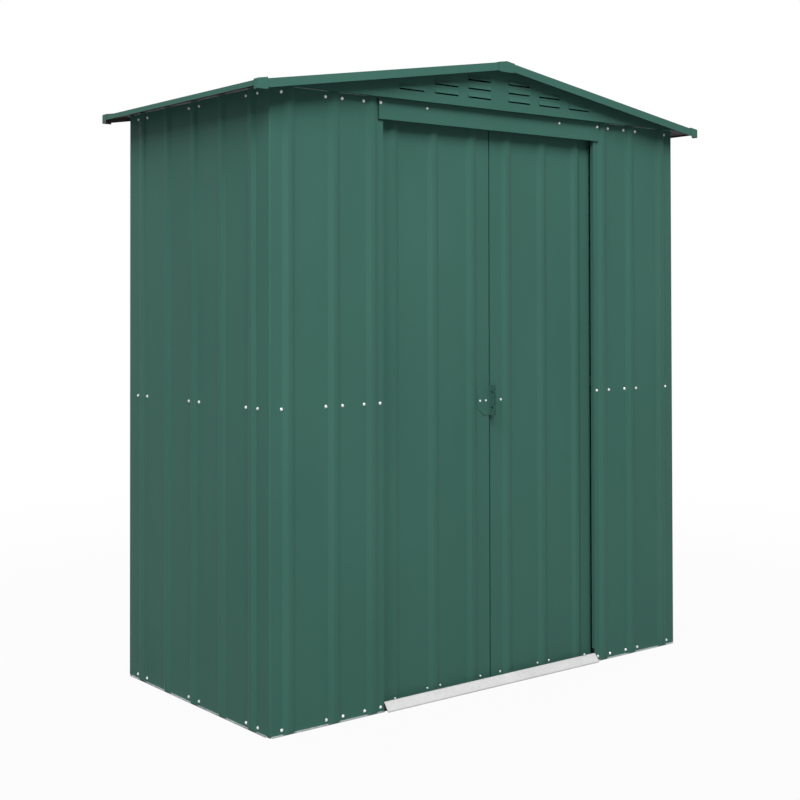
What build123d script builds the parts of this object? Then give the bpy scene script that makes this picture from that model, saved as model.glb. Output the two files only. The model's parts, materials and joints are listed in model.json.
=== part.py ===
from build123d import *
import math
import os

# Apex shed of ribbed sheet steel with two sliding doors in its front gable wall.
# Millimetres. +X is to the right along the front, +Y to the back, +Z up.
# The origin is on the ground at the middle of the footprint.

# Wall sheets. A wall's length comes from its bays of ribs and a margin at both ends.
SHEET_FOOT = 3.0
SHEET_TOP = 1825.0
SHEET = 1.0
CORNER_RADIUS = 4.0
FRONT_MARGIN = 65.0
SIDE_MARGIN = 90.0

# Pressed ribs that stand out of every sheet, and the laps where two sheets meet
RIB_PITCH = 160.0
RIB_BASE = 46.0
RIB_TOP = 12.0
RIB_HEIGHT = 6.0
SIDE_BAYS = 4
BACK_BAYS = 10
PANEL_BAYS = 2
LAP_GAP = 1.0
LAP_TAIL = 10.0

# Doorway
DOORWAY_WIDTH = 914.0
JAMB_RIB_INSET = 43.5
JAMB_RETURN = 14.0
JAMB_NOTCH_TOP = 42.0
JAMB_NOTCH_FRONT = 3.0

# Frame rails behind the sheets
RAIL = 1.0
RAIL_DEPTH = 13.0
RAIL_GAP = 0.5
BASE_HEIGHT = 35.0
BASE_LIP = 6.0
MID_RAIL_HEIGHT = 36.0
MID_RAIL_CENTRE = 915.0
TOP_RAIL_HEIGHT = 35.0
TOP_FLANGE = 24.0
TRACK_FLANGE = 50.0

# Roof. Its reference plane is the top face of the edge trims.
ROOF_SLOPE = 8.95
EAVE_OVERHANG = 73.0
VERGE_OVERHANG = 51.5
ROOF_ADVANCE = 4.5
EAVE_RISE = 1.5
VERGE_TRIM_DEPTH = 25.0
EAVE_TRIM_DEPTH = 15.0
TRIM_FLANGE = 20.0
SEAT_GAP = 0.3
RIDGE_GAP = 2.0
RIDGE_CAP_WING = 70.0
RIDGE_BEAM_WIDTH = 40.0
RIDGE_BEAM_DEPTH = 25.0
CAP_FRONT_LEG = 30.0
CAP_SIDE_LEG = 21.0
CAP_LIFT = 2.0
CAP_DROP = 0.5
CAP_WALL = 2.0
CAP_CHAMFER = 1.5
APEX_COVER_SHEET = 1.2
APEX_COVER_WIDTH = 68.0
APEX_COVER_FOOT = 52.0
APEX_COVER_DROP = 3.0

# Gable panels and their louvres
GABLE_PROUD = 23.5
GABLE_DRIP = 2.0
GABLE_SEAT = 48.0
GABLE_TOP_FLANGE = 14.0
LOUVRE_WIDTH = 96.0
LOUVRE_HEIGHT = 14.0
LOUVRE_DEPTH = 3.0
LOUVRE_SLIT = 4.0
LOUVRE_ROW_PITCH = 27.2
LOUVRE_SILL = 30.0
LOUVRE_FIRST_COLUMN = 86.0
LOUVRE_COLUMN_PITCH = 138.4
LOUVRE_ROWS = (3, 2, 1)

# Header over the doorway
HEADER_HEIGHT = 64.5
HEADER_PROUD = 6.0
HEADER_LAP = 20.0

# Sliding doors
DOOR_SETBACK = 28.5
DOOR_GAP = 5.0
DOOR_LAP = 10.0
DOOR_FOOT = 14.0
DOOR_HEADROOM = 40.0
DOOR_RETURN = 14.0
DOOR_RIB_INSET = 77.0
DOOR_RIBS = 3
DOOR_RAIL_HEIGHT = 30.0
DOOR_RAIL_DEPTH = 11.0
DOOR_RAIL_INSET = 3.0
DOOR_RAIL_LIFT = 4.0
DOOR_RAIL_DROP = 10.0
DOOR_MID_RAIL_FOOT = 887.0
ASTRAGAL_DEPTH = 23.0
ASTRAGAL_LAP = 14.0

# Tracks, the hangers in the upper one and the glides on the lower one
TRACK = 1.5
TRACK_WIDTH = 30.0
TRACK_HEIGHT = 22.0
TRACK_SLOT = 12.0
TRACK_END_GAP = 1.0
HANGER_NECK = 8.0
HANGER_HEAD = 22.0
HANGER_HEAD_HEIGHT = 7.0
HANGER_LIFT = 0.3
RUNNER_LENGTH = 40.0
RUNNER_INSET = 70.0
LOWER_TRACK_FRONT = 17.0
LOWER_TRACK_WIDTH = 38.0
LOWER_TRACK_LIP = 6.0
GUIDE_RIB = 2.0
GUIDE_RIB_TOP = 11.0
GLIDE_PLAY = 1.5
GLIDE_FOOT = 6.5
GLIDE_SLOT_TOP = 13.0

# Sloped door sill
SILL = 1.5
SILL_FRONT = 17.5
SILL_LIP = 4.0
SILL_CREST = 1.0
SILL_HEIGHT = 27.0
SILL_LAND = 6.0
SILL_END_GAP = 0.5

# Hasp plates at the meeting edges
HASP = 1.5
HASP_WIDTH = 50.0
HASP_HEIGHT = 96.0
HASP_CHAMFER = 25.0
HASP_PROUD = 25.5
HASP_CENTRE = 902.0
HASP_HOLE = 9.0
HASP_HOLE_PITCH = 50.0
HASP_HOLE_PROUD = 18.0

# Worked out from the sizes above
WALL_WIDTH = BACK_BAYS * RIB_PITCH + 2 * FRONT_MARGIN
WALL_DEPTH = SIDE_BAYS * RIB_PITCH + 2 * SIDE_MARGIN
HALF_WIDTH = WALL_WIDTH / 2
HALF_DEPTH = WALL_DEPTH / 2
HALF_DOORWAY = DOORWAY_WIDTH / 2
SHEET_LENGTH = SHEET_TOP - SHEET_FOOT
INNER_X = HALF_WIDTH - SHEET
RAIL_START = SHEET
RAIL_FAR = SHEET + RAIL_DEPTH
RAIL_TOP = SHEET_TOP + RAIL
TOP_RAIL_FOOT = SHEET_TOP - TOP_RAIL_HEIGHT
EAVE_TOP = SHEET_TOP + EAVE_RISE
DOOR_TOP = SHEET_TOP - DOOR_HEADROOM
ROOF_X = HALF_WIDTH + EAVE_OVERHANG
ROOF_Y = HALF_DEPTH + VERGE_OVERHANG
SLOPE_COS = math.cos(math.radians(ROOF_SLOPE))
SLOPE_SIN = math.sin(math.radians(ROOF_SLOPE))
SLOPE_TAN = math.tan(math.radians(ROOF_SLOPE))
PAN_DROP = SHEET + SEAT_GAP + RIB_HEIGHT + SHEET
PAN_UNDERSIDE = PAN_DROP + SHEET
GABLE_FACE = HALF_DEPTH + GABLE_PROUD
DOOR_FACE = DOOR_SETBACK - HALF_DEPTH
DOOR_BACK = DOOR_FACE + SHEET
DOOR_INNER_X = DOOR_GAP / 2
DOOR_OUTER_X = HALF_DOORWAY + DOOR_LAP
TRACK_CENTRE = DOOR_BACK + RAIL + HANGER_NECK / 2
TRACK_END = HALF_WIDTH - RAIL_FAR - TRACK_END_GAP
TRACK_LIP_TOP = SHEET_TOP - TRACK_HEIGHT + TRACK

os.makedirs("parts", exist_ok=True)


def save(builder, name):
    """Labels a finished piece and writes its file."""
    builder.part.label = name
    export_step(builder.part, f"parts/{name}.step")


def save_mirrored(builder, plane, name):
    """Writes the mirror image of a finished piece."""
    with BuildPart() as mirrored:
        mirror(builder.part, about=plane)
    save(mirrored, name)


def folded(path, thickness):
    """Outline of a sheet folded along a path, with its thickness on the path's left."""
    points = [Vector(*point) for point in path]
    normals = []
    for start, end in zip(points, points[1:]):
        along = (end - start).normalized()
        normals.append(Vector(-along.Y, along.X))
    normals = [normals[0], *normals, normals[-1]]
    far_side = []
    for point, before, after in zip(points, normals, normals[1:]):
        far_side.append(point + (before + after) * (thickness / (1 + before.dot(after))))
    return points + far_side[::-1]


def rib(centre, height=RIB_HEIGHT):
    """Four points over one rib, as distance along the wall and depth inwards."""
    return [
        (centre - RIB_BASE / 2, 0),
        (centre - RIB_TOP / 2, -height),
        (centre + RIB_TOP / 2, -height),
        (centre + RIB_BASE / 2, 0),
    ]


def rib_end(centre, over):
    """Lapped rib that ends a sheet, either over the next sheet's rib or under it."""
    if not over:
        return [*rib(centre)[:2], (centre + RIB_TOP / 2 - LAP_GAP, -RIB_HEIGHT)]
    height = RIB_HEIGHT + SHEET
    tail_fall = LAP_TAIL * RIB_HEIGHT / (RIB_BASE / 2 - RIB_TOP / 2)
    tail_end = (centre + RIB_TOP / 2 + LAP_TAIL, tail_fall - height)
    return [*rib(centre, height)[:3], tail_end]


def rib_start(centre, over):
    """Lapped rib that begins a sheet, the mirror image of one that ends a sheet."""
    return [(2 * centre - along, depth) for along, depth in reversed(rib_end(centre, over))]


def panel_face(first, bays, over_start, over_end):
    """Outer face of a panel that laps a rib at both ends."""
    face = rib_start(first, over_start)
    for bay in range(1, bays):
        face += rib(first + bay * RIB_PITCH)
    return face + rib_end(first + bays * RIB_PITCH, over_end)


def sheet_outline(face):
    """Closed outline of a sheet whose outer face is given, thick square to the pan."""
    return face + [(along, depth + SHEET) for along, depth in reversed(face)]


def roof_z(x, drop):
    """Height of the roof at x, a square distance below its reference plane."""
    return EAVE_TOP + (ROOF_X - abs(x)) * SLOPE_TAN - drop / SLOPE_COS


def roof_band(x_values, top_drop, foot_drop):
    """Outline of a band that follows the roof, seen from the front."""
    top = [(x, roof_z(x, top_drop)) for x in x_values]
    foot = [(x, roof_z(x, foot_drop)) for x in reversed(x_values)]
    return top + foot


# Wall planes as seen from outside: X runs to the right and Y inwards
front_plane = Plane((-HALF_WIDTH, -HALF_DEPTH, 0), x_dir=(1, 0, 0), z_dir=(0, 0, 1))
back_plane = Plane((HALF_WIDTH, HALF_DEPTH, 0), x_dir=(-1, 0, 0), z_dir=(0, 0, 1))
left_plane = Plane((-HALF_WIDTH, HALF_DEPTH, 0), x_dir=(0, -1, 0), z_dir=(0, 0, 1))


# Corner panels wrap each corner and lap the first rib of both walls
front_leg = rib_end(FRONT_MARGIN, True)
side_leg = [(depth, along) for along, depth in rib_end(SIDE_MARGIN, True)]
corner_outer = side_leg[::-1] + [(0, 0)] + front_leg
front_leg_back = [(along, depth + SHEET) for along, depth in front_leg]
side_leg_back = [(along + SHEET, depth) for along, depth in side_leg]
corner_inner = front_leg_back[::-1] + [(SHEET, SHEET)] + side_leg_back

with BuildPart() as corner_panel_front_left:
    with BuildSketch(front_plane.offset(SHEET_FOOT)) as corner_sketch:
        Polygon(*corner_outer, *corner_inner, align=None)
        corner_vertices = corner_sketch.vertices()
        fillet(corner_vertices.sort_by_distance((SHEET, SHEET, 0))[0], CORNER_RADIUS - SHEET)
        corner_vertices = corner_sketch.vertices()
        fillet(corner_vertices.sort_by_distance((0, 0, 0))[0], CORNER_RADIUS)
    extrude(amount=SHEET_LENGTH)
save(corner_panel_front_left, "corner_panel_front_left")
save_mirrored(corner_panel_front_left, Plane.YZ, "corner_panel_front_right")
save_mirrored(corner_panel_front_left, Plane.XZ, "corner_panel_back_left")
with BuildPart() as corner_panel_back_right:
    add(corner_panel_front_left.part.rotate(Axis.Z, 180))
save(corner_panel_back_right, "corner_panel_back_right")


# Side panels, from the back corner to the front corner of the left wall
side_first = SIDE_MARGIN
side_middle = SIDE_MARGIN + PANEL_BAYS * RIB_PITCH

with BuildPart() as side_panel_left_back:
    with BuildSketch(left_plane.offset(SHEET_FOOT)):
        Polygon(*sheet_outline(panel_face(side_first, PANEL_BAYS, False, True)), align=None)
    extrude(amount=SHEET_LENGTH)
save(side_panel_left_back, "side_panel_left_back")
save_mirrored(side_panel_left_back, Plane.YZ, "side_panel_right_back")

with BuildPart() as side_panel_left_front:
    with BuildSketch(left_plane.offset(SHEET_FOOT)):
        Polygon(*sheet_outline(panel_face(side_middle, PANEL_BAYS, False, False)), align=None)
    extrude(amount=SHEET_LENGTH)
save(side_panel_left_front, "side_panel_left_front")
save_mirrored(side_panel_left_front, Plane.YZ, "side_panel_right_front")


# Back panels, in order from the right as seen from the front
back_panel_count = BACK_BAYS // PANEL_BAYS

for index in range(back_panel_count):
    back_first = FRONT_MARGIN + index * PANEL_BAYS * RIB_PITCH
    with BuildPart() as back_panel:
        with BuildSketch(back_plane.offset(SHEET_FOOT)):
            back_face = panel_face(back_first, PANEL_BAYS, index > 0, False)
            Polygon(*sheet_outline(back_face), align=None)
        extrude(amount=SHEET_LENGTH)
    save(back_panel, f"back_panel_{index + 1}")


# Front panels: one bay beside each corner, then the jamb panel with its return
jamb_first = FRONT_MARGIN + RIB_PITCH
jamb_edge = HALF_WIDTH - HALF_DOORWAY

with BuildPart() as front_panel_left:
    with BuildSketch(front_plane.offset(SHEET_FOOT)):
        Polygon(*sheet_outline(panel_face(FRONT_MARGIN, 1, False, True)), align=None)
    extrude(amount=SHEET_LENGTH)
save(front_panel_left, "front_panel_left")
save_mirrored(front_panel_left, Plane.YZ, "front_panel_right")

with BuildPart() as jamb_panel_left:
    with BuildSketch(front_plane.offset(SHEET_FOOT)):
        jamb_face = rib_start(jamb_first, False) + rib(jamb_edge - JAMB_RIB_INSET)
        jamb_face_end = [(jamb_edge, 0), (jamb_edge, JAMB_RETURN)]
        jamb_back_start = [(jamb_edge - SHEET, JAMB_RETURN), (jamb_edge - SHEET, SHEET)]
        jamb_back = [(along, depth + SHEET) for along, depth in reversed(jamb_face)]
        Polygon(*jamb_face, *jamb_face_end, *jamb_back_start, *jamb_back, align=None)
    extrude(amount=SHEET_LENGTH)
    with BuildSketch(front_plane.offset(SHEET_FOOT)):
        with Locations((jamb_edge, JAMB_NOTCH_FRONT)):
            Rectangle(2 * SHEET, JAMB_RETURN, align=(Align.MAX, Align.MIN))
    extrude(amount=JAMB_NOTCH_TOP - SHEET_FOOT, mode=Mode.SUBTRACT)
    with BuildSketch(front_plane.offset(TOP_RAIL_FOOT - RAIL_GAP)):
        with Locations((jamb_edge, SHEET)):
            Rectangle(2 * SHEET, JAMB_RETURN, align=(Align.MAX, Align.MIN))
    extrude(amount=SHEET_LENGTH, mode=Mode.SUBTRACT)
save(jamb_panel_left, "jamb_panel_left")
save_mirrored(jamb_panel_left, Plane.YZ, "jamb_panel_right")


# Frame rails. Each profile is given as depth inwards from the pan and height.
base_path = [(-BASE_LIP, 0), (RAIL_START + RAIL, 0)]
base_path += [(RAIL_START + RAIL, BASE_HEIGHT - RAIL), (RAIL_FAR, BASE_HEIGHT - RAIL)]
base_profile = folded(base_path, RAIL)

mid_foot = MID_RAIL_CENTRE - MID_RAIL_HEIGHT / 2
mid_top = MID_RAIL_CENTRE + MID_RAIL_HEIGHT / 2
mid_path = [(RAIL_FAR, mid_top), (RAIL_START, mid_top)]
mid_path += [(RAIL_START, mid_foot), (RAIL_FAR, mid_foot)]
mid_profile = folded(mid_path, RAIL)

front_top_path = [(RAIL_START + TRACK_FLANGE, RAIL_TOP), (RAIL_START, RAIL_TOP)]
front_top_profile = folded(front_top_path + [(RAIL_START, TOP_RAIL_FOOT)], RAIL)
back_top_path = [(RAIL_START + TOP_FLANGE, RAIL_TOP), (RAIL_START, RAIL_TOP)]
back_top_profile = folded(back_top_path + [(RAIL_START, TOP_RAIL_FOOT)], RAIL)

side_top_inner = roof_z(INNER_X - TOP_FLANGE, PAN_UNDERSIDE)
side_top_outer = roof_z(INNER_X, PAN_UNDERSIDE)
side_top_path = [(RAIL_START + TOP_FLANGE, side_top_inner), (RAIL_START, side_top_outer)]
side_top_profile = folded(side_top_path + [(RAIL_START, TOP_RAIL_FOOT)], RAIL)

rail_end = INNER_X - CORNER_RADIUS
doorway_end = HALF_DOORWAY + SHEET + RAIL_GAP
side_rail_end = HALF_DEPTH - RAIL_FAR - RAIL_GAP
side_top_front = HALF_DEPTH - RAIL_START - TRACK_FLANGE - RAIL_GAP
side_top_back = HALF_DEPTH - RAIL_START - TOP_FLANGE - RAIL_GAP

front_section = Plane((0, -HALF_DEPTH, 0), x_dir=(0, 1, 0), z_dir=(1, 0, 0))
back_section = Plane((0, HALF_DEPTH, 0), x_dir=(0, -1, 0), z_dir=(-1, 0, 0))
left_section = Plane((-HALF_WIDTH, 0, 0), x_dir=(1, 0, 0), z_dir=(0, -1, 0))


def rail_solid(section, profile, start, end):
    """Extrudes a rail profile along its wall, between two places on the wall."""
    with BuildSketch(section.offset(start)) as rail_sketch:
        Polygon(*profile, align=None)
    extrude(rail_sketch.sketch, amount=end - start)


with BuildPart() as base_rails:
    rail_solid(left_section, base_profile, -side_rail_end, side_rail_end)
    rail_solid(front_section, base_profile, -rail_end, -doorway_end)
    mirror(about=Plane.YZ)
    rail_solid(back_section, base_profile, -rail_end, rail_end)
save(base_rails, "base_rails")

with BuildPart() as mid_rails:
    rail_solid(left_section, mid_profile, -side_rail_end, side_rail_end)
    rail_solid(front_section, mid_profile, -rail_end, -doorway_end)
    mirror(about=Plane.YZ)
    rail_solid(back_section, mid_profile, -rail_end, rail_end)
save(mid_rails, "mid_rails")

with BuildPart() as top_rails:
    rail_solid(left_section, side_top_profile, -side_top_back, side_top_front)
    mirror(about=Plane.YZ)
    rail_solid(front_section, front_top_profile, -rail_end, rail_end)
    rail_solid(back_section, back_top_profile, -rail_end, rail_end)
save(top_rails, "top_rails")


# Header channel over the doorway, lapping the pans of both jamb panels
header_foot = SHEET_TOP - HEADER_HEIGHT
header_path = [(0, SHEET_TOP), (-HEADER_PROUD, SHEET_TOP)]
header_path += [(-HEADER_PROUD, header_foot), (0, header_foot)]
header_half = HALF_DOORWAY + HEADER_LAP

with BuildPart() as header_fascia:
    rail_solid(front_section, folded(header_path, SHEET), -header_half, header_half)
save(header_fascia, "header_fascia")


# Upper track, a channel with lips that hold the hanger heads
track_front = TRACK_CENTRE + HALF_DEPTH - TRACK_WIDTH / 2
track_back = TRACK_CENTRE + HALF_DEPTH + TRACK_WIDTH / 2
slot_front = TRACK_CENTRE + HALF_DEPTH - TRACK_SLOT / 2
slot_back = TRACK_CENTRE + HALF_DEPTH + TRACK_SLOT / 2
track_foot = SHEET_TOP - TRACK_HEIGHT
track_path = [(slot_back, track_foot), (track_back, track_foot), (track_back, SHEET_TOP)]
track_path += [(track_front, SHEET_TOP), (track_front, track_foot), (slot_front, track_foot)]

with BuildPart() as upper_track:
    rail_solid(front_section, folded(track_path, TRACK), -TRACK_END, TRACK_END)
save(upper_track, "upper_track")


# Lower track with its guide rib under the hanger line
guide_depth = TRACK_CENTRE + HALF_DEPTH
lower_track_back = LOWER_TRACK_FRONT + LOWER_TRACK_WIDTH
lower_path = [(LOWER_TRACK_FRONT, LOWER_TRACK_LIP), (LOWER_TRACK_FRONT, 0)]
lower_path += [(lower_track_back, 0), (lower_track_back, LOWER_TRACK_LIP)]

with BuildPart() as lower_track:
    rail_solid(front_section, folded(lower_path, TRACK), -TRACK_END, TRACK_END)
    with BuildSketch(front_section.offset(-TRACK_END)):
        with Locations((guide_depth, 0)):
            Rectangle(GUIDE_RIB, GUIDE_RIB_TOP, align=(Align.CENTER, Align.MIN))
    extrude(amount=2 * TRACK_END)
save(lower_track, "lower_track")


# Sill: one folded strip from the lower track over a crest and down its slope
sill_leg = SILL_LAND - SILL_CREST
sill_path = [(LOWER_TRACK_FRONT, SILL), (sill_leg, SILL), (sill_leg, SILL_HEIGHT)]
sill_path += [(-SILL_CREST, SILL_HEIGHT), (-SILL_FRONT, SILL_LIP), (-SILL_FRONT, 0)]
sill_end = HALF_DOORWAY - SILL_END_GAP

with BuildPart() as door_sill:
    rail_solid(front_section, folded(sill_path, SILL), -sill_end, sill_end)
save(door_sill, "door_sill")


# Gable panels with louvre hoods pressed out of the sheet
gable_plane = Plane((0, -GABLE_FACE, 0), x_dir=(1, 0, 0), z_dir=(0, -1, 0))
gable_xs = (-HALF_WIDTH, 0, HALF_WIDTH)
gable_top = [(x, roof_z(x, PAN_UNDERSIDE)) for x in gable_xs]

louvre_spots = []
for row, columns in enumerate(LOUVRE_ROWS):
    for column in range(columns):
        louvre_x = LOUVRE_FIRST_COLUMN + column * LOUVRE_COLUMN_PITCH
        louvre_z = RAIL_TOP + LOUVRE_SILL + row * LOUVRE_ROW_PITCH
        louvre_spots += [(-louvre_x, louvre_z), (louvre_x, louvre_z)]


def louvre_solid(x, outline, half, mode):
    """Adds or removes a block behind a louvre, from its outline seen from the side."""
    section = Plane((x - half, -GABLE_FACE, 0), x_dir=(0, 1, 0), z_dir=(1, 0, 0))
    with BuildSketch(section) as louvre_sketch:
        Polygon(*outline, align=None)
    extrude(louvre_sketch.sketch, amount=2 * half, mode=mode)


def louvre(x, z):
    """Presses one hood out of the gable and cuts the slit under its lip."""
    hood_top = z + LOUVRE_HEIGHT
    hood = [(0, z), (-LOUVRE_DEPTH, z), (0, hood_top)]
    hollow = [(SHEET, z - LOUVRE_SLIT), (0, z - LOUVRE_SLIT), (0, z)]
    hollow += [(SHEET - LOUVRE_DEPTH, z), (SHEET, hood_top)]
    louvre_solid(x, hood, LOUVRE_WIDTH / 2, Mode.ADD)
    louvre_solid(x, hollow, LOUVRE_WIDTH / 2 - SHEET, Mode.SUBTRACT)


with BuildPart() as gable_front:
    with BuildSketch(gable_plane):
        gable_foot = RAIL_TOP - GABLE_DRIP
        foot = [(HALF_WIDTH, gable_foot), (-HALF_WIDTH, gable_foot)]
        Polygon(*gable_top, *foot, align=None)
    extrude(amount=-SHEET)
    with BuildSketch(gable_plane):
        Polygon(*roof_band(gable_xs, PAN_UNDERSIDE, PAN_UNDERSIDE + SHEET), align=None)
    extrude(amount=-GABLE_TOP_FLANGE)
    with BuildSketch(gable_plane):
        with Locations((0, RAIL_TOP)):
            Rectangle(WALL_WIDTH, SHEET, align=(Align.CENTER, Align.MIN))
    extrude(amount=-GABLE_SEAT)
    for louvre_x, louvre_z in louvre_spots:
        louvre(louvre_x, louvre_z)
save(gable_front, "gable_front")
save_mirrored(gable_front, Plane.XZ, "gable_back")


# Roof sheets: ribs run down the slope, and two sheets lap on the middle rib
lap_lean = (RIB_HEIGHT + SHEET) * SLOPE_SIN
roof_low_x = ROOF_X - SHEET - RAIL_GAP - lap_lean
roof_length = (roof_low_x - RIDGE_GAP) / SLOPE_COS
sheet_half = ROOF_Y - SHEET - RAIL_GAP
roof_middle = Plane.XZ.offset(ROOF_ADVANCE)
roof_plane = Plane(
    (-roof_low_x, -ROOF_ADVANCE, roof_z(roof_low_x, PAN_DROP)),
    x_dir=(0, -1, 0),
    z_dir=(SLOPE_COS, 0, SLOPE_SIN),
)

with BuildPart() as roof_panel_left_back:
    with BuildSketch(roof_plane):
        roof_face = [(-sheet_half, 0), *rib(-2 * RIB_PITCH), *rib(-RIB_PITCH)]
        Polygon(*sheet_outline(roof_face + rib_end(0, False)), align=None)
    extrude(amount=roof_length)
save(roof_panel_left_back, "roof_panel_left_back")
save_mirrored(roof_panel_left_back, Plane.YZ, "roof_panel_right_back")

with BuildPart() as roof_panel_left_front:
    with BuildSketch(roof_plane):
        roof_face = [*rib(RIB_PITCH), *rib(2 * RIB_PITCH), (sheet_half, 0)]
        Polygon(*sheet_outline(rib_start(0, True) + roof_face), align=None)
    extrude(amount=roof_length)
save(roof_panel_left_front, "roof_panel_left_front")
save_mirrored(roof_panel_left_front, Plane.YZ, "roof_panel_right_front")


# Ridge beam under the sheets and ridge cap over them
beam_half = RIDGE_BEAM_WIDTH / 2
beam_shoulder = roof_z(beam_half, PAN_UNDERSIDE)
beam_path = [(beam_half, beam_shoulder - RIDGE_BEAM_DEPTH), (beam_half, beam_shoulder)]
beam_path += [(0, roof_z(0, PAN_UNDERSIDE)), (-beam_half, beam_shoulder)]
beam_path += [(-beam_half, beam_shoulder - RIDGE_BEAM_DEPTH)]
beam_end = GABLE_FACE - GABLE_TOP_FLANGE - RAIL_GAP
cap_end = ROOF_Y - TRIM_FLANGE - RAIL_GAP

with BuildPart() as ridge_beam:
    with BuildSketch(Plane.XZ.offset(-beam_end)):
        Polygon(*folded(beam_path, RAIL), align=None)
    extrude(amount=2 * beam_end)
save(ridge_beam, "ridge_beam")

with BuildPart() as ridge_cap:
    with BuildSketch(roof_middle.offset(-cap_end)):
        cap_xs = (-RIDGE_CAP_WING, 0, RIDGE_CAP_WING)
        Polygon(*roof_band(cap_xs, 0, SHEET), align=None)
    extrude(amount=2 * cap_end)
save(ridge_cap, "ridge_cap")


# Eave trims along both low edges
eave_path = [(-ROOF_X + TRIM_FLANGE, roof_z(ROOF_X - TRIM_FLANGE, 0)), (-ROOF_X, EAVE_TOP)]
eave_path += [(-ROOF_X, EAVE_TOP - EAVE_TRIM_DEPTH)]

with BuildPart() as eave_trims:
    with BuildSketch(roof_middle.offset(-sheet_half)):
        Polygon(*folded(eave_path, SHEET), align=None)
    extrude(amount=2 * sheet_half)
    mirror(about=Plane.YZ)
save(eave_trims, "eave_trims")


# Verge trims up both gable edges, each with a leg that stands on the roof pan
verge_xs = (-ROOF_X, -RIDGE_GAP / 2)
verge_flange_xs = (-ROOF_X + TRIM_FLANGE + RAIL_GAP, -RIDGE_GAP / 2)

with BuildPart() as verge_trims:
    with BuildSketch(roof_middle.offset(ROOF_Y)):
        Polygon(*roof_band(verge_xs, 0, VERGE_TRIM_DEPTH), align=None)
    extrude(amount=-SHEET)
    with BuildSketch(roof_middle.offset(ROOF_Y)):
        Polygon(*roof_band(verge_flange_xs, 0, SHEET), align=None)
    extrude(amount=-TRIM_FLANGE)
    with BuildSketch(roof_middle.offset(ROOF_Y - TRIM_FLANGE)):
        Polygon(*roof_band(verge_flange_xs, 0, PAN_DROP), align=None)
    extrude(amount=SHEET)
    mirror(about=Plane.YZ)
    mirror(about=roof_middle)
save(verge_trims, "verge_trims")


# Folded caps over the four roof corners
cap_outer = ROOF_X + SEAT_GAP + CAP_WALL
cap_inner = ROOF_X + SEAT_GAP
cap_xs = (-cap_outer, CAP_FRONT_LEG - ROOF_X)
cap_foot = EAVE_TOP - VERGE_TRIM_DEPTH - CAP_DROP
cap_top = [(x, roof_z(x, -CAP_LIFT - CAP_WALL)) for x in cap_xs]
hollow_xs = (-cap_inner, CAP_FRONT_LEG - ROOF_X)
hollow_top = [(x, roof_z(x, -CAP_LIFT)) for x in hollow_xs]

with BuildPart() as corner_caps:
    with BuildSketch(roof_middle.offset(ROOF_Y + SEAT_GAP + CAP_WALL)):
        Polygon(*cap_top, (cap_xs[1], cap_foot), (cap_xs[0], cap_foot), align=None)
    extrude(amount=-(CAP_SIDE_LEG + SEAT_GAP + CAP_WALL))
    upright_edge = corner_caps.edges().filter_by(Axis.Z).sort_by(Axis.X)[:2].sort_by(Axis.Y)[0]
    top_edges = corner_caps.faces().sort_by(Axis.Z)[-1].edges()
    front_edge = top_edges.sort_by(Axis.Y)[0]
    side_edge = top_edges.sort_by(Axis.X)[0]
    chamfer([upright_edge, front_edge, side_edge], CAP_CHAMFER)
    with BuildSketch(roof_middle.offset(ROOF_Y + SEAT_GAP)):
        Polygon(*hollow_top, (hollow_xs[1], cap_foot), (hollow_xs[0], cap_foot), align=None)
    extrude(amount=-(CAP_SIDE_LEG + SEAT_GAP), mode=Mode.SUBTRACT)
    mirror(about=Plane.YZ)
    mirror(about=roof_middle)
save(corner_caps, "corner_caps")


# Covers over the apex of the verge trims
cover_half = APEX_COVER_WIDTH / 2
cover_xs = (-cover_half, 0, cover_half)
cover_rise = -SEAT_GAP - APEX_COVER_SHEET
cover_top = [(x, roof_z(x, cover_rise)) for x in cover_xs]
cover_side = roof_z(cover_half, VERGE_TRIM_DEPTH)
cover_foot = cover_side - APEX_COVER_DROP
foot_half = APEX_COVER_FOOT / 2
cover_low = [(cover_half, cover_side), (foot_half, cover_foot)]
cover_low += [(-foot_half, cover_foot), (-cover_half, cover_side)]

with BuildPart() as apex_covers:
    with BuildSketch(roof_middle.offset(ROOF_Y + SEAT_GAP + APEX_COVER_SHEET)):
        Polygon(*cover_top, *cover_low, align=None)
    extrude(amount=-APEX_COVER_SHEET)
    with BuildSketch(roof_middle.offset(ROOF_Y + SEAT_GAP + APEX_COVER_SHEET)):
        Polygon(*roof_band(cover_xs, cover_rise, -SEAT_GAP), align=None)
    extrude(amount=-(TRIM_FLANGE + SEAT_GAP + APEX_COVER_SHEET))
    mirror(about=roof_middle)
save(apex_covers, "apex_covers")


# Door leaves: a ribbed sheet with both long edges folded back
leaf_plane = Plane((0, DOOR_FACE, DOOR_FOOT), x_dir=(1, 0, 0), z_dir=(0, 0, 1))
leaf_face = []
for index in range(DOOR_RIBS):
    leaf_face += rib(DOOR_RIB_INSET + index * RIB_PITCH)
leaf_front = [(DOOR_INNER_X, DOOR_RETURN), (DOOR_INNER_X, 0), *leaf_face]
leaf_front += [(DOOR_OUTER_X, 0), (DOOR_OUTER_X, DOOR_RETURN)]
leaf_rear = [(DOOR_OUTER_X - SHEET, DOOR_RETURN), (DOOR_OUTER_X - SHEET, SHEET)]
leaf_rear += [(along, depth + SHEET) for along, depth in reversed(leaf_face)]
leaf_rear += [(DOOR_INNER_X + SHEET, SHEET), (DOOR_INNER_X + SHEET, DOOR_RETURN)]

with BuildPart() as door_right:
    with BuildSketch(leaf_plane):
        Polygon(*leaf_front, *leaf_rear, align=None)
    extrude(amount=DOOR_TOP - DOOR_FOOT)
save(door_right, "door_right")
save_mirrored(door_right, Plane.YZ, "door_left")


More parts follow.
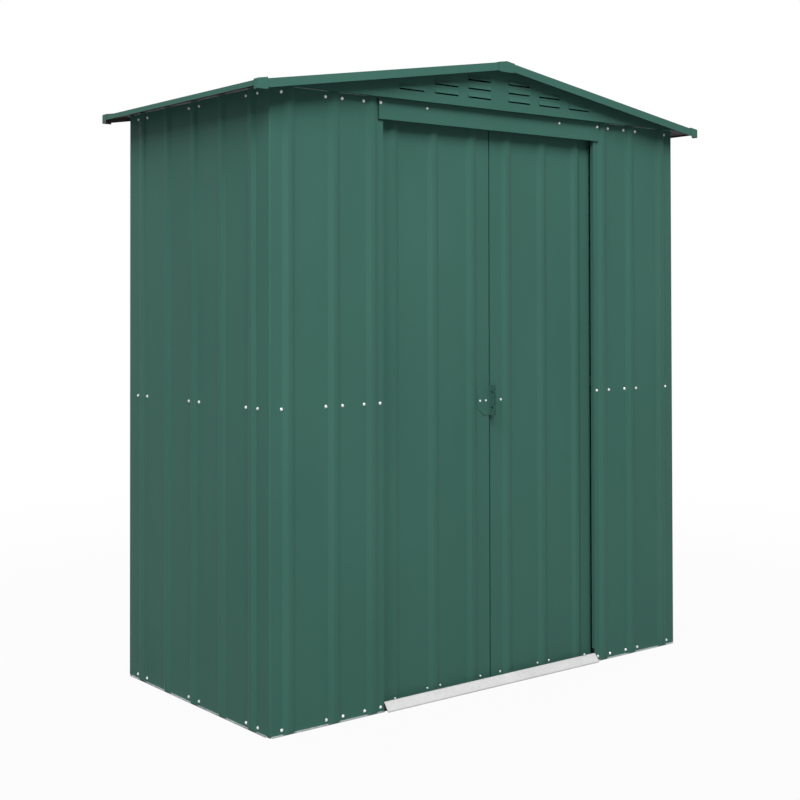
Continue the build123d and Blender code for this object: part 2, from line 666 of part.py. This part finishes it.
# Channels across the back of each leaf
door_section = Plane((0, DOOR_BACK, 0), x_dir=(0, 1, 0), z_dir=(1, 0, 0))
door_top_rail_foot = DOOR_TOP - DOOR_RAIL_DROP - DOOR_RAIL_HEIGHT
door_bottom_rail_foot = DOOR_FOOT + DOOR_RAIL_LIFT
door_rail_feet = (door_bottom_rail_foot, DOOR_MID_RAIL_FOOT, door_top_rail_foot)
door_rail_start = DOOR_INNER_X + DOOR_RAIL_INSET
door_rail_end = DOOR_OUTER_X - DOOR_RAIL_INSET

with BuildPart() as door_rails_right:
    for rail_foot in door_rail_feet:
        rail_top = rail_foot + DOOR_RAIL_HEIGHT
        door_rail_path = [(DOOR_RAIL_DEPTH, rail_top), (0, rail_top)]
        door_rail_path += [(0, rail_foot), (DOOR_RAIL_DEPTH, rail_foot)]
        door_rail_profile = folded(door_rail_path, RAIL)
        rail_solid(door_section, door_rail_profile, door_rail_start, door_rail_end)
save(door_rails_right, "door_rails_right")
save_mirrored(door_rails_right, Plane.YZ, "door_rails_left")


# Strip on the right leaf that covers the gap between the two leaves
astragal_x = DOOR_INNER_X + SHEET
astragal_path = [(astragal_x, 0), (astragal_x, ASTRAGAL_DEPTH)]
astragal_path += [(-ASTRAGAL_LAP, ASTRAGAL_DEPTH)]
astragal_profile = folded([(x, depth) for x, depth in reversed(astragal_path)], SHEET)

with BuildPart() as door_astragal:
    with BuildSketch(Plane((0, DOOR_BACK, DOOR_FOOT), x_dir=(1, 0, 0), z_dir=(0, 0, 1))):
        Polygon(*astragal_profile, align=None)
    extrude(amount=DOOR_TOP - DOOR_FOOT)
save(door_astragal, "door_astragal")


# Hangers that stand on the top channel and glides under the bottom one
runner_start = DOOR_INNER_X + RUNNER_INSET
runner_far = DOOR_OUTER_X - RUNNER_INSET - RUNNER_LENGTH
hanger_foot = door_top_rail_foot + DOOR_RAIL_HEIGHT
head_foot = TRACK_LIP_TOP + HANGER_LIFT
glide_top = door_bottom_rail_foot
glide_width = 2 * (TRACK_CENTRE - DOOR_BACK)
glide_slot = GUIDE_RIB + 2 * GLIDE_PLAY
runner_plane = Plane((0, TRACK_CENTRE, 0), x_dir=(0, 1, 0), z_dir=(1, 0, 0))

with BuildPart() as door_runners_right:
    for runner_x in (runner_start, runner_far):
        with BuildSketch(runner_plane.offset(runner_x)):
            with Locations((0, hanger_foot)):
                Rectangle(HANGER_NECK, head_foot - hanger_foot, align=(Align.CENTER, Align.MIN))
            with Locations((0, head_foot)):
                Rectangle(HANGER_HEAD, HANGER_HEAD_HEIGHT, align=(Align.CENTER, Align.MIN))
            with Locations((0, GLIDE_FOOT)):
                Rectangle(glide_width, glide_top - GLIDE_FOOT, align=(Align.CENTER, Align.MIN))
                Rectangle(
                    glide_slot,
                    GLIDE_SLOT_TOP - GLIDE_FOOT,
                    align=(Align.CENTER, Align.MIN),
                    mode=Mode.SUBTRACT,
                )
        extrude(amount=RUNNER_LENGTH)
save(door_runners_right, "door_runners_right")
save_mirrored(door_runners_right, Plane.YZ, "door_runners_left")


# Hasp plates: a chamfered plate on the pan and a flange with two padlock holes
hasp_plane = Plane((0, DOOR_FACE, HASP_CENTRE), x_dir=(1, 0, 0), z_dir=(0, -1, 0))
hasp_side_plane = Plane((DOOR_INNER_X, DOOR_FACE, HASP_CENTRE), x_dir=(0, -1, 0), z_dir=(1, 0, 0))

with BuildPart() as hasp_right:
    with BuildSketch(hasp_plane):
        with Locations((DOOR_INNER_X, 0)):
            Rectangle(HASP_WIDTH, HASP_HEIGHT, align=(Align.MIN, Align.CENTER))
    extrude(amount=HASP)
    plate_corners = hasp_right.edges().filter_by(Axis.Y).group_by(Axis.X)[-1]
    chamfer(plate_corners, HASP_CHAMFER)
    with BuildSketch(hasp_plane):
        with Locations((DOOR_INNER_X, 0)):
            Rectangle(HASP, HASP_HEIGHT, align=(Align.MIN, Align.CENTER))
    extrude(amount=HASP_PROUD)
    with BuildSketch(hasp_side_plane):
        with Locations((HASP_HOLE_PROUD, 0)):
            with GridLocations(0, HASP_HOLE_PITCH, 1, 2):
                Circle(HASP_HOLE / 2)
    extrude(amount=HASP, mode=Mode.SUBTRACT)
save(hasp_right, "hasp_right")
save_mirrored(hasp_right, Plane.YZ, "hasp_left")
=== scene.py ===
import json
import math

import bmesh
import bpy
from mathutils import Matrix, Vector


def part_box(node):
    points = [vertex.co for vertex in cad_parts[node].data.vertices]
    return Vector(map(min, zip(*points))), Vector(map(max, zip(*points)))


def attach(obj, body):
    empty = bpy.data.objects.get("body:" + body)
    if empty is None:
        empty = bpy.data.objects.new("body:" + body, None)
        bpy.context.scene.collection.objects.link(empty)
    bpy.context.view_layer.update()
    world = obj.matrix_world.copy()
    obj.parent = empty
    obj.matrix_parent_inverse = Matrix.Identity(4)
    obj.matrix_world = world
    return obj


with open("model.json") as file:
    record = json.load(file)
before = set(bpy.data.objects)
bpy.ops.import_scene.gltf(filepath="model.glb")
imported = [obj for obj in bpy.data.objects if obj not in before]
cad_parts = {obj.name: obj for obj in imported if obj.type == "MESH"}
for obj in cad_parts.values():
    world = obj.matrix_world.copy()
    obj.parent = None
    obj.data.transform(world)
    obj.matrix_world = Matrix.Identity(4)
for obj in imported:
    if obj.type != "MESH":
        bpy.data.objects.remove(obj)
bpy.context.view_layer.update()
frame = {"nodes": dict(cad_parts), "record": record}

# Apex shed of green ribbed sheet steel, seen from its front left corner.
# Metres. +X is to the right along the front, +Y to the back, +Z up.

nodes = frame["nodes"]
MM = 0.001

# Camera, fitted to the screw rows and edges of the photograph
CAMERA_PLACE = Vector((-2.975, -3.551, 1.2146))
CAMERA_YAW = math.radians(37.516)
CAMERA_PITCH = math.radians(0.8306)
CAMERA_ROLL = math.radians(-0.0965)
FOCAL_PIXELS = 1350.5
IMAGE_SIDE = 800
PRINCIPAL_X = 355.0
PRINCIPAL_Y = 282.6
SENSOR = 36.0

# Light levels: the world's soft light, the white that the camera sees, and each lamp's
# place and power
WORLD_LEVEL = 0.11
WHITE_LEVEL = 1.0
LAMP_SIZE = 4.0
LAMPS = {
    "front": ((-2.0, -5.4, 7.6), 800.0),
    "left": ((-5.4, -1.5, 7.6), 500.0),
    "right": ((5.4, 0.5, 7.6), 580.0),
    "back": ((-0.4, 5.4, 7.6), 600.0),
}
LAMP_TARGET = (0.0, 0.0, 0.9)

# Floor: the share of pure white that the camera sees, from near the shed to far away
FLOOR_SIZE = 30.0
FLOOR_WHITE = (0.95, 1.0)
FLOOR_FADE = (1.2, 5.0)

# Colours, linear
WHITE = (1, 1, 1, 1)
FLOOR_GREY = (0.24, 0.24, 0.24, 1)
PAINT_GREEN = (0.0475, 0.133, 0.105)
INNER_PRIMER = (0.105, 0.090, 0.090)
ZINC = (0.62, 0.63, 0.64)
SILL_ZINC = (0.53, 0.53, 0.53)
# Painted shade: dark zinc for the sill's hollow side, which is in shadow
SILL_SHADE_ZINC = (0.10, 0.10, 0.10)
SCREW_ZINC = (0.78, 0.79, 0.80)
BLACK_PLASTIC = (0.018, 0.018, 0.019)

# Surfaces: factors on a colour, and heights of bumps in metres
PAINT_SPECULAR = 0.04
PAINT_MOTTLE = (0.95, 1.05)
PAINT_SPECKS = (0.97, 1.03)
PEEL_HEIGHT = 0.00004
ZINC_CLOUDS = (0.93, 1.03)
CRYSTAL_HEIGHT = 0.00002
SCUFF_HEIGHT = 0.00003
PLASTIC_MOTTLE = (0.85, 1.15)
GRAIN_HEIGHT = 0.00005

# Screws: a washer under a chamfered hexagon head. The rim is a share of the washer's
# height, the flat a share of its radius, and the seat is in head radii.
WASHER_RADIUS = 4.8 * MM
WASHER_HEIGHT = 0.8 * MM
WASHER_RIM = 0.7
WASHER_FLAT = 0.93
WASHER_SEAT = 1.12
WASHER_SIDES = 24
HEAD_RADIUS = 3.6 * MM
HEAD_HEIGHT = 3.2 * MM
HEAD_CHAMFER = 0.6 * MM
HEAD_SIDES = 6

# Turn in radians from one screw to the next, and the scale of the small screws
SCREW_TURN = 2.39996
SMALL_SCREW = 0.80

# Signs of X on the left and on the right
SIDES = (-1, 1)

# Places of the wall and header screws
RIB_PITCH = 160 * MM
LAP_PITCH = 2 * RIB_PITCH
RIB_SCREW_OFFSET = 30 * MM
SCREW_ROWS = (15.5 * MM, 914 * MM, 1809 * MM)
HEADER_SCREW_X = 288 * MM
HEADER_SCREW_Z = 1807 * MM

# Places of the door screws, from the middle outwards. The outermost of the left leaf
# sits on a rib.
FOOT_SCREW_X = (43 * MM, 212 * MM, 264 * MM)
FOOT_SCREW_Z = 29 * MM
LEFT_RIB_SCREW = (397 * MM, 23 * MM)
RIGHT_EDGE_SCREW = (435 * MM, 21 * MM)
HASP_THICKNESS = 1.5 * MM
HASP_SCREW_DROP = 1.5 * MM
HASP_SCREW_X = {-1: (17 * MM, 42 * MM), 1: (48 * MM,)}

# Places of the roof screws
ROOF_SCREW_PITCH = 160 * MM
RIDGE_SCREW = 42 * MM
EAVE_SCREW = 22 * MM
ABOVE_ROOF = 3.0

# Directions that face out of the shed
OUTWARD = {
    "front": Vector((0, -1, 0)),
    "back": Vector((0, 1, 0)),
    "left": Vector((-1, 0, 0)),
    "right": Vector((1, 0, 0)),
    "roof": Vector((0, 0, 1)),
}

# Cosines: below the first a face doesn't look along a direction, below the second it
# looks back along it
NOT_ALONG = 0.2
LOOKS_BACK = -0.5

# Top of the lip along the front of the sill
SILL_LIP_TOP = 6 * MM

# Places read from the frame: the flat pans of the walls, and the header
front_low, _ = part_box("front_panel_left")
side_low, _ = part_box("side_panel_left_front")
header_low, header_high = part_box("header_fascia")
RIB_HEIGHT = 6 * MM
LAP_RIB_HEIGHT = 7 * MM
WALL_X = -side_low.x - RIB_HEIGHT
WALL_Y = -front_low.y - LAP_RIB_HEIGHT

# Ribs and screws along the front, measured from the corners of the pans
FRONT_FIRST_RIB = WALL_X - 65 * MM
JAMB_RIB = WALL_X - 364.5 * MM
CORNER_SCREW = WALL_X - 40 * MM


def combined(tree, operation, first, second):
    """The result of a maths operation on two values of a node tree."""
    node = tree.nodes.new("ShaderNodeMath")
    node.operation = operation
    tree.links.new(first, node.inputs[0])
    tree.links.new(second, node.inputs[1])
    return node.outputs["Value"]


class Recipe:
    """A material under construction, with short calls for the nodes that it needs."""

    def __init__(self, name):
        self.material = bpy.data.materials.new(name)
        self.material.use_nodes = True
        self.tree = self.material.node_tree
        self.shader = self.tree.nodes["Principled BSDF"]
        self.place = self.tree.nodes.new("ShaderNodeTexCoord").outputs["Object"]

    def link(self, source, target):
        self.tree.links.new(source, target)

    def scaled(self, x, y, z):
        mapping = self.tree.nodes.new("ShaderNodeMapping")
        mapping.inputs["Scale"].default_value = (x, y, z)
        self.link(self.place, mapping.inputs["Vector"])
        return mapping.outputs["Vector"]

    def noise(self, vector, scale, detail, roughness):
        node = self.tree.nodes.new("ShaderNodeTexNoise")
        node.inputs["Scale"].default_value = scale
        node.inputs["Detail"].default_value = detail
        node.inputs["Roughness"].default_value = roughness
        self.link(vector, node.inputs["Vector"])
        return node.outputs["Fac"]

    def cells(self, vector, scale):
        node = self.tree.nodes.new("ShaderNodeTexVoronoi")
        node.inputs["Scale"].default_value = scale
        self.link(vector, node.inputs["Vector"])
        return node.outputs["Color"]

    def spread(self, value, low, high, start=0.3, end=0.7):
        """A value from low to high. Most of a noise lies between start and end."""
        node = self.tree.nodes.new("ShaderNodeMapRange")
        node.inputs["From Min"].default_value = start
        node.inputs["From Max"].default_value = end
        node.inputs["To Min"].default_value = low
        node.inputs["To Max"].default_value = high
        self.link(value, node.inputs["Value"])
        return node.outputs["Result"]

    def shaded(self, colour, *factors):
        """The colour, lighter or darker by one or two factors that vary over the surface."""
        factor = factors[0]
        for other in factors[1:]:
            factor = combined(self.tree, "MULTIPLY", factor, other)
        node = self.tree.nodes.new("ShaderNodeVectorMath")
        node.operation = "SCALE"
        node.inputs[0].default_value = colour
        self.link(factor, node.inputs["Scale"])
        self.link(node.outputs["Vector"], self.shader.inputs["Base Color"])

    def rough(self, value, roughness):
        """Roughness that varies between two levels."""
        self.link(self.spread(value, *roughness), self.shader.inputs["Roughness"])

    def bumps(self, layers):
        """Stacks bump layers, each a height and its distance in metres."""
        normal = None
        for height, distance in layers:
            node = self.tree.nodes.new("ShaderNodeBump")
            node.inputs["Strength"].default_value = 1.0
            node.inputs["Distance"].default_value = distance
            self.link(height, node.inputs["Height"])
            if normal is not None:
                self.link(normal, node.inputs["Normal"])
            normal = node.outputs["Normal"]
        self.link(normal, self.shader.inputs["Normal"])


def painted(name, colour, roughness, buckle):
    """Satin paint on thin sheet: soft mottling, fine orange peel and slight buckling."""
    recipe = Recipe(name)
    clouds = recipe.noise(recipe.scaled(1, 1, 0.5), scale=2.6, detail=4.0, roughness=0.55)
    specks = recipe.noise(recipe.place, scale=420.0, detail=2.0, roughness=0.6)
    mottle = recipe.spread(clouds, *PAINT_MOTTLE)
    recipe.shaded(colour, mottle, recipe.spread(specks, *PAINT_SPECKS))
    smears = recipe.noise(recipe.scaled(6, 6, 1.2), scale=3.0, detail=5.0, roughness=0.6)
    recipe.rough(smears, roughness)
    peel = recipe.noise(recipe.place, scale=700.0, detail=2.0, roughness=0.5)
    waves = recipe.noise(recipe.scaled(1.6, 1.6, 0.45), scale=3.2, detail=1.0, roughness=0.4)
    recipe.bumps([(waves, buckle), (peel, PEEL_HEIGHT)])
    recipe.shader.inputs["Specular IOR Level"].default_value = PAINT_SPECULAR
    return recipe.material


def zinc_plated(name, colour, roughness, spangle, metallic=1.0):
    """Galvanised steel with the crystal pattern of its zinc."""
    recipe = Recipe(name)
    recipe.shader.inputs["Metallic"].default_value = metallic
    crystals = recipe.cells(recipe.place, scale=110.0)
    clouds = recipe.noise(recipe.place, scale=9.0, detail=4.0, roughness=0.6)
    level = recipe.spread(crystals, 1 - spangle, 1 + spangle, start=0.0, end=1.0)
    recipe.shaded(colour, level, recipe.spread(clouds, *ZINC_CLOUDS))
    scuffs = recipe.noise(recipe.scaled(1, 1, 12), scale=60.0, detail=5.0, roughness=0.65)
    recipe.rough(scuffs, roughness)
    recipe.bumps([(crystals, CRYSTAL_HEIGHT), (scuffs, SCUFF_HEIGHT)])
    return recipe.material


def moulded(name, colour, roughness):
    """Black moulded plastic with a fine grain."""
    recipe = Recipe(name)
    clouds = recipe.noise(recipe.place, scale=40.0, detail=3.0, roughness=0.5)
    recipe.shaded(colour, recipe.spread(clouds, *PLASTIC_MOTTLE))
    grain = recipe.noise(recipe.place, scale=1400.0, detail=2.0, roughness=0.6)
    recipe.rough(grain, roughness)
    recipe.bumps([(grain, GRAIN_HEIGHT)])
    return recipe.material


wall_paint = painted("wall_paint", PAINT_GREEN, roughness=(0.40, 0.50), buckle=0.0016)
roof_paint = painted("roof_paint", PAINT_GREEN, roughness=(0.42, 0.54), buckle=0.0012)
trim_paint = painted("trim_paint", PAINT_GREEN, roughness=(0.36, 0.46), buckle=0.0004)
door_paint = painted("door_paint", PAINT_GREEN, roughness=(0.38, 0.48), buckle=0.0016)
inner_paint = painted("inner_paint", INNER_PRIMER, roughness=(0.50, 0.62), buckle=0.0010)
frame_zinc = zinc_plated("frame_zinc", ZINC, roughness=(0.36, 0.52), spangle=0.12)
sill_zinc = zinc_plated(
    "sill_zinc", SILL_ZINC, roughness=(0.52, 0.66), spangle=0.05, metallic=0.2)
# Painted shade for the sill's hollow side, much darker than the sill's own zinc
sill_shade_zinc = zinc_plated(
    "sill_shade_zinc", SILL_SHADE_ZINC, roughness=(0.60, 0.72), spangle=0.05, metallic=0.2)
screw_zinc = zinc_plated(
    "screw_zinc", SCREW_ZINC, roughness=(0.30, 0.42), spangle=0.04, metallic=0.5)
runner_plastic = moulded("runner_plastic", BLACK_PLASTIC, roughness=(0.45, 0.62))

SLOT_MATERIALS = {
    "wall_sheet": wall_paint,
    "trim_sheet": trim_paint,
    "roof_sheet": roof_paint,
    "door_sheet": door_paint,
    "hasp_plate": trim_paint,
    "frame_steel": frame_zinc,
    "sill_steel": sill_zinc,
    "runner_plastic": runner_plastic,
}
PRIMED_SLOTS = ("wall_sheet", "roof_sheet", "door_sheet")
ROOF_EDGES = ("eave_trims", "verge_trims", "corner_caps")


def outward_of(name):
    """The outward directions of a sheet, from its node name."""
    if name.startswith("roof_panel"):
        return [OUTWARD["roof"]]
    if name.startswith("side_panel"):
        return [OUTWARD["left" if "left" in name else "right"]]
    if name.startswith("back_panel") or name == "gable_back":
        return [OUTWARD["back"]]
    if name.startswith("corner_panel"):
        return [OUTWARD["front" if "front" in name else "back"],
                OUTWARD["left" if "left" in name else "right"]]
    return [OUTWARD["front"]]


def edge_directions(place):
    """The outward directions of a roof trim at a place near the roof's edge."""
    directions = [OUTWARD["roof"]]
    if abs(place.x) > WALL_X:
        directions.append(OUTWARD["right" if place.x > 0 else "left"])
    if abs(place.y) > WALL_Y:
        directions.append(OUTWARD["back" if place.y > 0 else "front"])
    return directions


def faces_in(face, directions):
    """Whether a face of a sheet looks into the shed."""
    cosines = [face.normal.dot(direction) for direction in directions]
    return max(cosines) < NOT_ALONG and min(cosines) < LOOKS_BACK


def under_sill(face):
    """Whether a face of the sill's folded strip is on its hollow side, which gets dark zinc
    as painted shade.
    """
    upright = abs(face.normal.z) < NOT_ALONG and face.center.z > SILL_LIP_TOP
    return upright or face.normal.z < -NOT_ALONG


def dress_frame():
    """Gives each node its material, the inner faces of sheets their primer, and the sill's
    hollow side dark zinc as painted shade.
    """
    slots = {part["node"]: part["material_slot"] for part in frame["record"]["subparts"]}
    for name, node in nodes.items():
        node.data.materials.clear()
        node.data.materials.append(SLOT_MATERIALS[slots[name]])
        roof_edge = name in ROOF_EDGES
        primed = slots[name] in PRIMED_SLOTS and name != "door_astragal"
        sill = name == "door_sill"
        if not (roof_edge or primed or sill):
            continue
        # On the sill, the hollow side gets the dark zinc as painted shade
        node.data.materials.append(sill_shade_zinc if sill else inner_paint)
        for face in node.data.polygons:
            if sill:
                inner = under_sill(face)
            elif roof_edge:
                inner = faces_in(face, edge_directions(node.matrix_world @ face.center))
            else:
                inner = faces_in(face, outward_of(name))
            face.material_index = int(inner)


def add_object(name, data):
    """A new object in the scene."""
    item = bpy.data.objects.new(name, data)
    bpy.context.scene.collection.objects.link(item)
    return item


def screw_shape():
    """A washer and hexagon head standing on the XY plane, as rings of points."""
    washer = [
        (WASHER_RADIUS, 0.0, WASHER_SIDES),
        (WASHER_RADIUS, WASHER_HEIGHT * WASHER_RIM, WASHER_SIDES),
        (WASHER_RADIUS * WASHER_FLAT, WASHER_HEIGHT, WASHER_SIDES),
        (HEAD_RADIUS * WASHER_SEAT, WASHER_HEIGHT, WASHER_SIDES),
    ]
    head = [
        (HEAD_RADIUS, WASHER_HEIGHT, HEAD_SIDES),
        (HEAD_RADIUS, HEAD_HEIGHT - HEAD_CHAMFER, HEAD_SIDES),
        (HEAD_RADIUS - HEAD_CHAMFER, HEAD_HEIGHT, HEAD_SIDES),
    ]
    return washer, head


def add_rings(mesh, rings, place):
    """Adds rings of points joined by faces, closed by a face over each end."""
    loops = []
    for radius, height, count in rings:
        loop = []
        for index in range(count):
            angle = 2 * math.pi * index / count
            point = Vector((radius * math.cos(angle), radius * math.sin(angle), height))
            loop.append(mesh.verts.new(place @ point))
        loops.append(loop)
    for low, high in zip(loops, loops[1:]):
        for index in range(len(low)):
            after = (index + 1) % len(low)
            mesh.faces.new((low[index], low[after], high[after], high[index]))
    mesh.faces.new(loops[-1])
    mesh.faces.new(loops[0][::-1])


def screw_set(name, body, places, size=1.0):
    """One piece with a screw at each place, given as a point and its outward direction."""
    mesh = bmesh.new()
    for number, (point, outward) in enumerate(places):
        turn = Matrix.Rotation(number * SCREW_TURN, 4, "Z")
        aim = Vector(outward).to_track_quat("Z", "Y").to_matrix().to_4x4()
        place = Matrix.Translation(point) @ aim @ turn @ Matrix.Scale(size, 4)
        for rings in screw_shape():
            add_rings(mesh, rings, place)
    data = bpy.data.meshes.new(name)
    bmesh.ops.recalc_face_normals(mesh, faces=mesh.faces)
    mesh.to_mesh(data)
    mesh.free()
    data.materials.append(screw_zinc)
    piece = add_object(name, data)
    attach(piece, body)


def beside(ribs):
    """Positions on both sides of each rib."""
    return [rib + step for rib in ribs for step in (-RIB_SCREW_OFFSET, RIB_SCREW_OFFSET)]


def front_depth(x, z):
    """Front face at x and z: the header over the doorway, else the pans of the wall."""
    return header_low.y if x < header_high.x and z > header_low.z else -WALL_Y


def wall_screws():
    """Screws beside the lapped ribs of all four walls, in three rows."""
    front_x = [CORNER_SCREW] + beside([FRONT_FIRST_RIB - RIB_PITCH, JAMB_RIB])
    back_x = [CORNER_SCREW] + beside([FRONT_FIRST_RIB - lap * LAP_PITCH for lap in (1, 2)])
    side_y = beside([lap * LAP_PITCH for lap in (-1, 0, 1)])
    places = {wall: [] for wall in ("front", "back", "left", "right")}
    for z in SCREW_ROWS:
        spots = {
            "front": [(side * x, front_depth(x, z), z) for x in front_x for side in SIDES],
            "back": [(side * x, WALL_Y, z) for x in back_x for side in SIDES],
            "left": [(-WALL_X, y, z) for y in side_y],
            "right": [(WALL_X, y, z) for y in side_y],
        }
        for wall, row in spots.items():
            places[wall] += [(Vector(spot), OUTWARD[wall]) for spot in row]
    for wall in places:
        screw_set(f"screws_{wall}", "shed", places[wall])


def door_screws():
    """Screws along the foot of each leaf and on the hasp plates."""
    leaf_low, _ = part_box("door_right")
    hasp_low, hasp_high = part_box("hasp_right")
    pan_y = leaf_low.y + RIB_HEIGHT
    plate_y = pan_y - HASP_THICKNESS
    hasp_z = (hasp_low.z + hasp_high.z) / 2 - HASP_SCREW_DROP
    for side, body in ((-1, "left_door"), (1, "right_door")):
        name = body.split("_")[0]
        spots = [(x, pan_y, FOOT_SCREW_Z) for x in FOOT_SCREW_X]
        outer_x, outer_z = LEFT_RIB_SCREW if side < 0 else RIGHT_EDGE_SCREW
        spots.append((outer_x, leaf_low.y if side < 0 else pan_y, outer_z))
        places = [(Vector((side * x, y, z)), OUTWARD["front"]) for x, y, z in spots]
        screw_set(f"screws_door_{name}", body, places, SMALL_SCREW)
        spots = [(side * x, plate_y, hasp_z) for x in HASP_SCREW_X[side]]
        places = [(Vector(spot), OUTWARD["front"]) for spot in spots]
        screw_set(f"screws_hasp_{name}", body, places, SMALL_SCREW)


def header_screws():
    """Screws along the top of the header."""
    spots = [(side * HEADER_SCREW_X, header_low.y, HEADER_SCREW_Z) for side in SIDES]
    places = [(Vector(spot), OUTWARD["front"]) for spot in spots]
    screw_set("screws_header", "shed", places, SMALL_SCREW)


def on_top(names, x, y):
    """Where a line straight down first meets the nodes, as a point and its normal."""
    met = []
    for name in names:
        start = Vector((x, y, ABOVE_ROOF))
        hit, point, normal, _ = nodes[name].ray_cast(start, -OUTWARD["roof"])
        if hit:
            met.append((point, normal))
    return max(met, key=lambda spot: spot[0].z) if met else None


def roof_screws():
    """Screws through the ridge cap, and over the side walls through the roof sheets."""
    sheets = [name for name in nodes if name.startswith("roof_panel")]
    places = []
    for step in (-2, -1, 0, 1, 2):
        y = ROOF_SCREW_PITCH * step
        for side in SIDES:
            places.append(on_top(["ridge_cap"], side * RIDGE_SCREW, y))
            places.append(on_top(sheets, side * (WALL_X - EAVE_SCREW), y))
    screw_set("screws_roof", "shed", [place for place in places if place])


def seen_directly(tree):
    """One for rays from the camera, from a mirror-like surface or through glass."""
    path = tree.nodes.new("ShaderNodeLightPath")
    total = path.outputs["Is Camera Ray"]
    for kind in ("Is Glossy Ray", "Is Transmission Ray"):
        total = combined(tree, "MAXIMUM", total, path.outputs[kind])
    return total


def mixed(tree, share, first, second, output_kind):
    """Shows the first shader, and the second one by its share."""
    mix = tree.nodes.new("ShaderNodeMixShader")
    tree.links.new(share, mix.inputs["Fac"])
    tree.links.new(first, mix.inputs[1])
    tree.links.new(second, mix.inputs[2])
    output = tree.nodes.new(output_kind)
    tree.links.new(mix.outputs["Shader"], output.inputs["Surface"])


def white_floor():
    """A grey floor that the camera sees as white, with a faint shadow near the shed."""
    material = bpy.data.materials.new("floor_white")
    material.use_nodes = True
    tree = material.node_tree
    tree.nodes.clear()
    matte = tree.nodes.new("ShaderNodeBsdfDiffuse")
    matte.inputs["Color"].default_value = FLOOR_GREY
    glow = tree.nodes.new("ShaderNodeEmission")
    glow.inputs["Strength"].default_value = WHITE_LEVEL
    reach = tree.nodes.new("ShaderNodeVectorMath")
    reach.operation = "LENGTH"
    tree.links.new(tree.nodes.new("ShaderNodeTexCoord").outputs["Object"], reach.inputs[0])
    fade = tree.nodes.new("ShaderNodeMapRange")
    fade.interpolation_type = "SMOOTHSTEP"
    fade.inputs["From Min"].default_value, fade.inputs["From Max"].default_value = FLOOR_FADE
    fade.inputs["To Min"].default_value, fade.inputs["To Max"].default_value = FLOOR_WHITE
    tree.links.new(reach.outputs["Value"], fade.inputs["Value"])
    share = combined(tree, "MULTIPLY", seen_directly(tree), fade.outputs["Result"])
    mixed(tree, share, matte.outputs["BSDF"], glow.outputs["Emission"],
          "ShaderNodeOutputMaterial")
    return material


def shaded_floor():
    """Plain grey for the floor inside the shed."""
    material = bpy.data.materials.new("floor_under_shed")
    material.use_nodes = True
    shader = material.node_tree.nodes["Principled BSDF"]
    shader.inputs["Base Color"].default_value = FLOOR_GREY
    return material


def make_floor():
    """The floor, as a grid of three by three whose middle lies inside the shed."""
    across = (-FLOOR_SIZE / 2, -WALL_X, WALL_X, FLOOR_SIZE / 2)
    along = (-FLOOR_SIZE / 2, -WALL_Y, WALL_Y, FLOOR_SIZE / 2)
    corners = [(x, y, 0) for y in along for x in across]
    width = len(across)
    cells = range(width - 1)
    starts = [row * width + column for row in cells for column in cells]
    faces = [(at, at + 1, at + width + 1, at + width) for at in starts]
    data = bpy.data.meshes.new("floor")
    data.from_pydata(corners, [], faces)
    data.materials.append(white_floor())
    data.materials.append(shaded_floor())
    data.polygons[len(faces) // 2].material_index = 1
    floor = add_object("floor", data)


def make_world():
    """White surroundings for the camera, and an even soft light for the shed."""
    world = bpy.data.worlds.new("studio")
    bpy.context.scene.world = world
    world.use_nodes = True
    tree = world.node_tree
    tree.nodes.clear()
    lights = []
    for level in (WORLD_LEVEL, WHITE_LEVEL):
        light = tree.nodes.new("ShaderNodeBackground")
        light.inputs["Color"].default_value = WHITE
        light.inputs["Strength"].default_value = level
        lights.append(light.outputs["Background"])
    mixed(tree, seen_directly(tree), *lights, "ShaderNodeOutputWorld")


def soft_box(name, place, power):
    """A square area lamp aimed at the shed."""
    data = bpy.data.lights.new(name, "AREA")
    data.shape = "SQUARE"
    data.size = LAMP_SIZE
    data.energy = power
    lamp = add_object(name, data)
    lamp.location = place
    aim = Vector(LAMP_TARGET) - Vector(place)
    lamp.rotation_euler = aim.to_track_quat("-Z", "Y").to_euler()


def make_camera():
    """The photograph's camera."""
    data = bpy.data.cameras.new("camera")
    data.sensor_width = SENSOR
    data.lens = FOCAL_PIXELS / IMAGE_SIDE * SENSOR
    data.shift_x = (IMAGE_SIDE / 2 - PRINCIPAL_X) / IMAGE_SIDE
    data.shift_y = (PRINCIPAL_Y - IMAGE_SIDE / 2) / IMAGE_SIDE
    flat = math.cos(CAMERA_PITCH)
    across, along = math.sin(CAMERA_YAW) * flat, math.cos(CAMERA_YAW) * flat
    forward = Vector((across, along, math.sin(CAMERA_PITCH)))
    aim = forward.to_track_quat("-Z", "Y").to_matrix().to_4x4()
    roll = Matrix.Rotation(CAMERA_ROLL, 4, "Z")
    camera = add_object("camera", data)
    camera.matrix_world = Matrix.Translation(CAMERA_PLACE) @ aim @ roll
    bpy.context.scene.camera = camera


dress_frame()
wall_screws()
door_screws()
header_screws()
roof_screws()
make_floor()
make_world()
for lamp_name, (lamp_place, lamp_power) in LAMPS.items():
    soft_box(lamp_name, lamp_place, lamp_power)
make_camera()
bpy.context.scene.view_settings.view_transform = "Standard"
